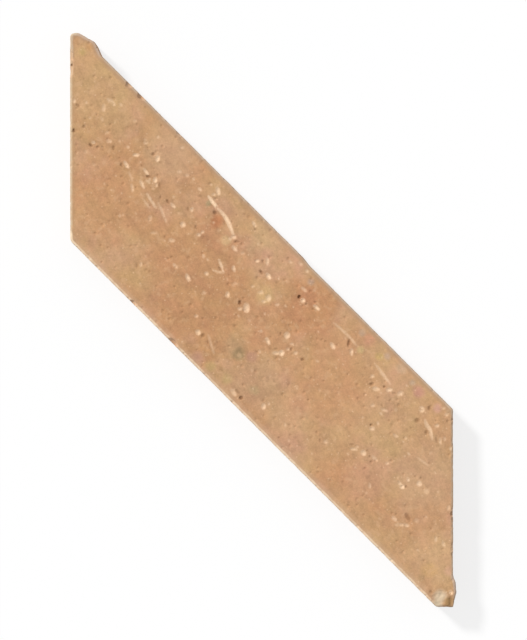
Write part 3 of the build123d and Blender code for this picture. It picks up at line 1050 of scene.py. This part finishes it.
clay = {
    "orange": colour(195, 146, 104),
    "ochre": colour(199, 158, 116),
    "rose": colour(198, 152, 122),
    "tones": (19, 3, 0.36, 0.66),   # noise scale and detail, and where in it orange turns ochre
    "blush": (41, 3, 0.50, 0.72),   # the same for rose
    "mottling": [
        # noise scale, detail, and how much it lightens or darkens
        (26, 2, 0.18),
        (95, 3, 0.34),
        (330, 3, 0.40),
        (1100, 2, 0.40),
    ],
    "streaks": (430, 3, 0.28),
    "hueSwing": (70, 3, 0.494, 0.506),
    "mist": (290, 2, 0.54, 0.72),   # soft pale spots
    "mistPaint": colour(216, 174, 134),
    "paleGrain": colour(234, 198, 160),
    "darkGrainAndPoreShade": colour(150, 100, 64),
    "paleSpeckle": (520, 0.22, 0.45),   # cells to the metre, share of them filled, how strong
    "darkSpeckle": (640, 0.16, 0.2),
    "side": colour(189, 138, 97),
    "dust": (120, 4, 0.5, 0.72),
    "sideDust": colour(214, 184, 148),
    "sand": colour(205, 170, 132),
    # how much of a coat is laid
    "roseShare": 0.7,
    "dustShare": 0.5,
    "sandShare": 0.8,
    "mistShare": 0.4,
    "poreShare": 0.13,
    # the skin
    "skinScale": 1500,
    "skinPits": -0.5,               # what the dark and the pale grains add to its height
    "skinGrains": 0.3,
    "bump": (0.35, 0.12 * mm),      # strength and depth
    "polishScale": 60,
    "roughness": (0.78, 0.95),
    "specular": 0.3,
}

# The marks' paints: how far from the cut they are full and fade out, the paint and how much of it
markPaintsShadeAndHighlight = {
    # scar: pale broken clay; fleck: pale lime and painted highlight; pit: painted shade
    "scar": (0.1 * mm, 0.9 * mm, colour(208, 164, 128), 0.5),
    "fleck": (0.1 * mm, 0.65 * mm, colour(255, 221, 184), 0.92),
    "pit": (0.15 * mm, 0.75 * mm, colour(112, 72, 40), 0.95),
}

# Rims: how far inside the outline they are full and fade out, the paint and how much of it.
# Each lies by the edge that its name starts with. They are partly wear and partly painted light and shade:
# painted highlights along the lower and spine edges, painted shade bands inside the upper and spine
# edges, and painted light that lightens and greys the shaded upper, border and tip arrises
rimLightShadeAndWear = {
    "lowerBand": (2.2 * mm, 5.0 * mm, colour(208, 174, 144), 0.35),
    "upperShade": (2.2 * mm, 3.8 * mm, colour(184, 148, 116), 0.7),
    "spineShade": (2.0 * mm, 3.6 * mm, colour(182, 147, 110), 0.45),
    "borderRimLight": (1.0 * mm, 2.0 * mm, colour(212, 184, 154), 0.75),
    "upperRimLight": (0.9 * mm, 1.7 * mm, colour(204, 180, 156), 0.8),
    "tipRimLight": (1.2 * mm, 2.4 * mm, colour(200, 174, 154), 0.8),
    "spineHighlight": (1.0 * mm, 2.0 * mm, colour(208, 186, 156), 0.8),
    "lowerHighlight": (1.2 * mm, 2.0 * mm, colour(248, 221, 188), 0.8),
}
rimForm = {
    "ragged": (260, 0.6 * mm),      # noise scale and reach
    "breaks": (210, 0.35, 0.6, 0.6),    # noise scale, its two limits, and what is left in a break
    "band": (3.5 * mm, 1.5 * mm),   # below the wear face: where a rim starts and is full
    "edge": 3 * mm,                 # what lies this near to an edge is all its own,
    "edgeEnd": 2 * mm,              # and over this it is less and less so
}
markBreaks = (900, 0.3, 0.55, 0.65)     # the same as the rims' breaks

# Patches of another tone: place in pixels of the photograph, reach in millimetres, tone, share
patches = {
    "spineOchre": ((285, 35), 40, colour(199, 160, 116), 0.85),
    "upperRose": ((330, 80), 22, colour(199, 159, 122), 0.8),
    "spineWarm": ((290, 112), 30, colour(199, 149, 108), 0.8),
    "lowOlive": ((310, 153), 16, colour(195, 155, 110), 0.7),
    "middleWarm": ((350, 150), 40, colour(193, 144, 103), 0.8),
    "upperOchre": ((392, 130), 16, colour(199, 160, 122), 0.7),
    "middleRed": ((412, 178), 20, colour(195, 143, 101), 0.7),
    "lowerRose": ((382, 222), 22, colour(192, 151, 116), 0.8),
    "lowerOchre": ((402, 243), 18, colour(197, 155, 117), 0.8),
    "borderWarm": ((430, 220), 34, colour(197, 148, 106), 0.7),
    "borderRed": ((452, 283), 18, colour(199, 151, 117), 0.7),
    "borderRose": ((490, 285), 30, colour(198, 157, 121), 0.8),
    "borderOchre": ((498, 335), 24, colour(203, 162, 122), 0.85),
}
stainsAndShade = {
    "greenOuter": ((370.4, 198.6), 9.0, colour(184, 152, 112), 0.7),
    "greenRing": ((372.6, 203.6), 5.5, colour(163, 136, 98), 0.85),
    "greenHeart": ((373.8, 205.0), 1.8, colour(186, 156, 118), 0.7),
    "greenLow": ((354.6, 211.6), 4.6, colour(196, 165, 112), 0.6),
    "greenFoot": ((365.8, 219.6), 4.6, colour(194, 164, 114), 0.6),
    "greenEdge": ((382.8, 226.6), 4.2, colour(184, 158, 116), 0.6),
    "greenSpine": ((274.6, 13.6), 3.4, colour(190, 160, 104), 0.6),
    "pinkLow": ((381.0, 205.4), 4.4, colour(194, 147, 122), 0.6),
    "pinkFoot": ((365.6, 210.0), 4.6, colour(203, 155, 123), 0.6),
    "pinkHeel": ((347.4, 206.0), 5.4, colour(193, 148, 126), 0.6),
    # painted shade beside the top of the pale groove
    "greyShadeByGroove": ((353.9, 109.0), 2.6, colour(170, 150, 112), 0.8),
    "redSpot": ((359.2, 120.2), 5.6, colour(190, 128, 86), 0.8),
    "yellowFoot": ((364.8, 132.2), 4.2, colour(212, 178, 130), 0.7),
    "yellowMiddle": ((389.4, 166.8), 7.0, colour(206, 171, 120), 0.7),
    "yellowStreak": ((449.2, 200.8), 3.2, colour(212, 180, 128), 0.8),
    "yellowBorder": ((461.6, 205.4), 3.4, colour(200, 168, 106), 0.6),
    "redByPit": ((417.0, 168.0), 7.0, colour(200, 142, 104), 0.6),
    "pinkTop": ((391.0, 140.4), 5.0, colour(202, 152, 124), 0.6),
    "greyUpper": ((418.6, 158.4), 3.2, colour(184, 156, 138), 0.6),
    "greyStreak": ((450.6, 190.4), 3.0, colour(190, 164, 138), 0.6),
    "greyPink": ((466.6, 205.2), 3.0, colour(196, 166, 148), 0.6),
    "creamRim": ((475.6, 212.6), 4.6, colour(206, 174, 140), 0.6),
    "greyRim": ((482.4, 221.8), 2.8, colour(188, 164, 140), 0.7),
    "roseRim": ((486.0, 227.4), 5.0, colour(200, 146, 124), 0.85),
    "roseStreak": ((455.0, 194.5), 5.0, colour(206, 150, 118), 0.6),
    "pinkBorder": ((497.6, 238.0), 4.0, colour(216, 166, 146), 0.7),
    "oliveBorder": ((504.6, 239.6), 3.0, colour(188, 158, 118), 0.6),
    "pinkArris": ((505.0, 340.0), 4.0, colour(209, 161, 133), 0.7),
    "orangeTip": ((492.6, 339.6), 6.4, colour(205, 163, 112), 0.7),
    "oliveTip": ((487.6, 344.6), 3.0, colour(176, 142, 102), 0.6),
    "brownNose": ((279.6, 10.0), 4.0, colour(198, 148, 96), 0.6),
}
# and those that lie over the broken border tip: pale broken clay, greyer towards its lower left,
# brown painted shade in its hollow and darker at its lower edge
tipColoursAndShade = {
    "cream": ((499.9, 356.4), 5.6, colour(224, 204, 174), 0.8),
    "grey": ((497.8, 361.0), 4.0, colour(192, 178, 152), 0.8),
    "brown": ((505.4, 359.8), 5.0, colour(164, 128, 84), 0.9),
    "dark": ((506.8, 362.4), 2.4, colour(136, 106, 78), 0.7),
}
# how ragged their outlines are, as shares of their reach
patchRagged = 0.9
stainRagged = 0.7
tipRagged = 0.5


def read(tree, name):
    return addNode(tree, "ShaderNodeAttribute", attribute_name=name).outputs["Fac"]


def lay(tree, ground, share, paint, amount=1.0):
    # one more coat of colour, where its mask says
    return mixColours(tree, calc(tree, "MULTIPLY", share, amount), ground, paint)


def layNoise(tree, ground, place, grain, paint, amount=1.0):
    scale, detail, low, high = grain
    return lay(tree, ground, remap(tree, noise(tree, place, scale, detail), low, high), paint, amount)


def layPatches(tree, ground, place, ragged, spots):
    for (column, row), reach, paint, share in spots.values():
        patch = addNode(
            tree, "ShaderNodeGroup",
            {"Place": place, "Centre": onFace(column, row), "Reach": reach * mm, "Ragged": ragged},
            node_tree=softPatch,
        )
        ground = lay(tree, ground, patch.outputs["Mask"], paint, share)
    return ground


def laySpeckle(tree, ground, place, grain, paint):
    scale, share, amount = grain
    grains = addNode(
        tree, "ShaderNodeGroup",
        {"Place": place, "Scale": scale, "Share": share, "Size": speckleForm["size"]},
        node_tree=speckle,
    )
    return lay(tree, ground, grains.outputs["Mask"], paint, amount), grains.outputs["Mask"]


def breaks(tree, place, scale, low, high, left):
    # lets a coat wear thin here and there
    return remap(tree, noise(tree, place, scale), low, high, left, 1.0)


def edgeMasks(tree, place):
    # by which edge a place lies, or by which broken tip
    across = separate(tree, turned(tree, place, mitre))["Y"]
    x = separate(tree, place)["X"]
    insets = {
        "lower": calc(tree, "ADD", across, halfWidth),
        "upper": calc(tree, "SUBTRACT", halfWidth, across),
        "spine": calc(tree, "ADD", x, halfSpan),
        "border": calc(tree, "SUBTRACT", halfSpan, x),
    }
    inner = rimForm["edge"]
    outer = inner + rimForm["edgeEnd"]
    masks = {edge: remap(tree, inset, inner, outer, 1.0, 0.0) for edge, inset in insets.items()}
    tips = (tipMask(tree, place, tip) for tip in (spineNose, borderNose))
    masks["tip"] = calc(tree, "MAXIMUM", *tips)
    return masks


def layRimLightShadeAndWear(tree, ground, place):
    scale, amount = rimForm["ragged"]
    ragged = calc(tree, "SUBTRACT", noise(tree, place, scale), 0.5)
    away = calc(tree, "MULTIPLY_ADD", ragged, amount, read(tree, "rimAway"))
    height = separate(tree, place)["Z"]
    onTop = remap(tree, height, *(thickness - below for below in rimForm["band"]))
    onTop = calc(tree, "MULTIPLY", onTop, breaks(tree, place, *rimForm["breaks"]))
    masks = edgeMasks(tree, place)
    for name, (inner, outer, paint, amount) in rimLightShadeAndWear.items():
        edge = next(mask for key, mask in masks.items() if name.startswith(key))
        share = calc(tree, "MULTIPLY", remap(tree, away, inner, outer, 1.0, 0.0), edge)
        ground = lay(tree, ground, calc(tree, "MULTIPLY", share, onTop), paint, amount)
    return ground


def layMarksShadeAndHighlight(tree, ground, place):
    broken = breaks(tree, place, *markBreaks)
    for name, (inner, outer, paint, amount) in markPaintsShadeAndHighlight.items():
        away = read(tree, name + "Away")
        strength = read(tree, name + "Strength")
        marked = addNode(
            tree, "ShaderNodeGroup",
            {"Place": place, "Away": away, "Strength": strength, "Inner": inner, "Outer": outer},
            node_tree=mark,
        )
        share = calc(tree, "MULTIPLY", marked.outputs["Mask"], broken)
        ground = lay(tree, ground, share, paint, amount)
    return ground


def mottled(tree, ground, place):
    # lightens and darkens the ground in several grain sizes, and along the drag of the strike board
    level = 1.0
    for scale, detail, amount in clay["mottling"]:
        swing = calc(tree, "SUBTRACT", noise(tree, place, scale, detail), 0.5)
        level = calc(tree, "MULTIPLY_ADD", swing, amount, level)
    drawn = turned(tree, place, relief["dragTurn"])
    drawn = vectorCalc(tree, "MULTIPLY", drawn, (relief["dragStretch"], 1, 1))
    scale, detail, amount = clay["streaks"]
    swing = calc(tree, "SUBTRACT", noise(tree, drawn, scale, detail), 0.5)
    level = calc(tree, "MULTIPLY_ADD", swing, amount, level)
    scale, detail, low, high = clay["hueSwing"]
    tint = remap(tree, noise(tree, place, scale, detail), 0.3, 0.7, low, high, kind="LINEAR")
    node = addNode(tree, "ShaderNodeHueSaturation", {"Hue": tint, "Value": level, "Color": ground})
    return node.outputs["Color"]


def makeClay():
    material = bpy.data.materials.new("firedTerracotta")
    material.use_nodes = True
    tree = material.node_tree
    tree.nodes.clear()
    place = addNode(tree, "ShaderNodeTexCoord").outputs["Object"]

    # the body of the clay: broad tones, then patches and stains, with one patch of painted shade among them
    ground = layNoise(tree, clay["orange"], place, clay["tones"], clay["ochre"])
    ground = layNoise(tree, ground, place, clay["blush"], clay["rose"], clay["roseShare"])
    ground = layPatches(tree, ground, place, patchRagged, patches)
    ground = layPatches(tree, ground, place, stainRagged, stainsAndShade)

    # cut sides and sanded bed
    sideGround = layNoise(
        tree, clay["side"], place, clay["dust"], clay["sideDust"], clay["dustShare"],
    )
    ground = mixColours(tree, read(tree, "side"), ground, sideGround)
    ground = lay(tree, ground, read(tree, "bed"), clay["sand"], clay["sandShare"])
    ground = mottled(tree, ground, place)

    # grains of sand and lime
    ground = layNoise(tree, ground, place, clay["mist"], clay["mistPaint"], clay["mistShare"])
    ground, paleGrains = laySpeckle(tree, ground, place, clay["paleSpeckle"], clay["paleGrain"])
    ground, darkGrains = laySpeckle(tree, ground, place, clay["darkSpeckle"], clay["darkGrainAndPoreShade"])

    # wear, painted light and shade on the rims, and marks with painted shade and painted highlight
    # the pores a little darker: painted shade in them, in the dark grains' colour
    ground = lay(tree, ground, read(tree, "pore"), clay["darkGrainAndPoreShade"], clay["poreShare"])
    ground = layRimLightShadeAndWear(tree, ground, place)
    ground = layMarksShadeAndHighlight(tree, ground, place)
    ground = layPatches(tree, ground, place, tipRagged, tipColoursAndShade)

    # fine surface: a dry matt skin, a little smoother where feet have polished it
    fine = noise(tree, place, clay["skinScale"])
    surface = calc(tree, "MULTIPLY_ADD", darkGrains, clay["skinPits"], fine)
    surface = calc(tree, "MULTIPLY_ADD", paleGrains, clay["skinGrains"], surface)
    strength, depth = clay["bump"]
    bump = addNode(tree, "ShaderNodeBump", {"Strength": strength, "Distance": depth, "Height": surface})
    polish = noise(tree, place, clay["polishScale"])
    rough = remap(tree, polish, 0.3, 0.7, *clay["roughness"], kind="LINEAR")
    shader = addNode(
        tree, "ShaderNodeBsdfPrincipled",
        {"Base Color": ground, "Roughness": rough, "Normal": bump.outputs["Normal"]},
    )
    shader.inputs["Specular IOR Level"].default_value = clay["specular"]
    addNode(tree, "ShaderNodeOutputMaterial", {"Surface": shader.outputs[0]})
    return material


tile.data.materials.clear()
tile.data.materials.append(makeClay())
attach(tile, "root")
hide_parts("tile")
print("clay coloured")


# Stage, light and camera

stage = {
    "floorSize": 8.0,
    "floorDrop": 0.1 * mm,          # below the bed of the tile
    "lensLength": 135,
    "fill": 0.9,                    # share of the frame's height that the tile takes
    "sunHeight": radians(38),
    "sunFrom": Vector((-0.72, 0.69, 0)),
    "sunShare": 0.55,               # of the light on the wear face; the sky gives the rest
    "sunSpread": radians(9),
    "floorGlow": 0.78,              # of the floor's white, for rays that see the backdrop
    "floorBounce": 0.7,             # what the floor throws back at the tile
}


def backdropRays(tree):
    # the rays that see the backdrop: straight from the camera, or by way of gloss or glass
    path = addNode(tree, "ShaderNodeLightPath").outputs
    seen = calc(tree, "MAXIMUM", path["Is Camera Ray"], path["Is Glossy Ray"])
    return calc(tree, "MAXIMUM", seen, path["Is Transmission Ray"])


def addFloor():
    deselectAll()
    bpy.ops.mesh.primitive_plane_add(size=stage["floorSize"], location=(0, 0, -stage["floorDrop"]))
    bpy.ops.object.transform_apply(location=True, rotation=True, scale=True)
    floor = bpy.context.active_object
    floor.name = "floor"
    material = bpy.data.materials.new("whiteFloor")
    material.use_nodes = True
    tree = material.node_tree
    tree.nodes.clear()
    seen = backdropRays(tree)
    strength = calc(tree, "MULTIPLY", seen, stage["floorGlow"])
    glow = addNode(tree, "ShaderNodeEmission", {"Color": (1, 1, 1, 1), "Strength": strength})
    level = remap(tree, seen, 0.0, 1.0, stage["floorBounce"], 1 - stage["floorGlow"], kind="LINEAR")
    matt = addNode(tree, "ShaderNodeBsdfDiffuse", {"Color": level})
    both = addNode(tree, "ShaderNodeAddShader", {0: glow.outputs[0], 1: matt.outputs[0]})
    addNode(tree, "ShaderNodeOutputMaterial", {"Surface": both.outputs[0]})
    floor.data.materials.append(material)


def addSky():
    world = bpy.data.worlds.new("paleSky")
    bpy.context.scene.world = world
    world.use_nodes = True
    tree = world.node_tree
    tree.nodes.clear()
    strength = remap(tree, backdropRays(tree), 0.0, 1.0, 1 - stage["sunShare"], 1.0, kind="LINEAR")
    sky = addNode(tree, "ShaderNodeBackground", {"Color": (1, 1, 1, 1), "Strength": strength})
    addNode(tree, "ShaderNodeOutputWorld", {"Surface": sky.outputs[0]})


def addSun():
    sun = bpy.data.lights.new("keyLight", "SUN")
    sun.energy = stage["sunShare"] * pi / sin(stage["sunHeight"])
    sun.angle = stage["sunSpread"]
    lamp = bpy.data.objects.new("keyLight", sun)
    bpy.context.scene.collection.objects.link(lamp)
    height = stage["sunHeight"]
    towardsSun = stage["sunFrom"].normalized() * cos(height) + upright * sin(height)
    lamp.location = towardsSun
    lamp.rotation_euler = towardsSun.to_track_quat("Z", "Y").to_euler()


def addCamera():
    data = bpy.data.cameras.new("camera")
    data.lens = stage["lensLength"]
    camera = bpy.data.objects.new("camera", data)
    bpy.context.scene.collection.objects.link(camera)
    middle = (cadLow + cadHigh) / 2
    frameHeight = (cadHigh.y - cadLow.y) / stage["fill"]
    distance = frameHeight * data.lens / data.sensor_width
    camera.location = (middle.x, middle.y, cadHigh.z + distance)
    bpy.context.scene.camera = camera


addFloor()
addSky()
addSun()
addCamera()
bpy.context.scene.view_settings.view_transform = "Standard"
print("stage set")
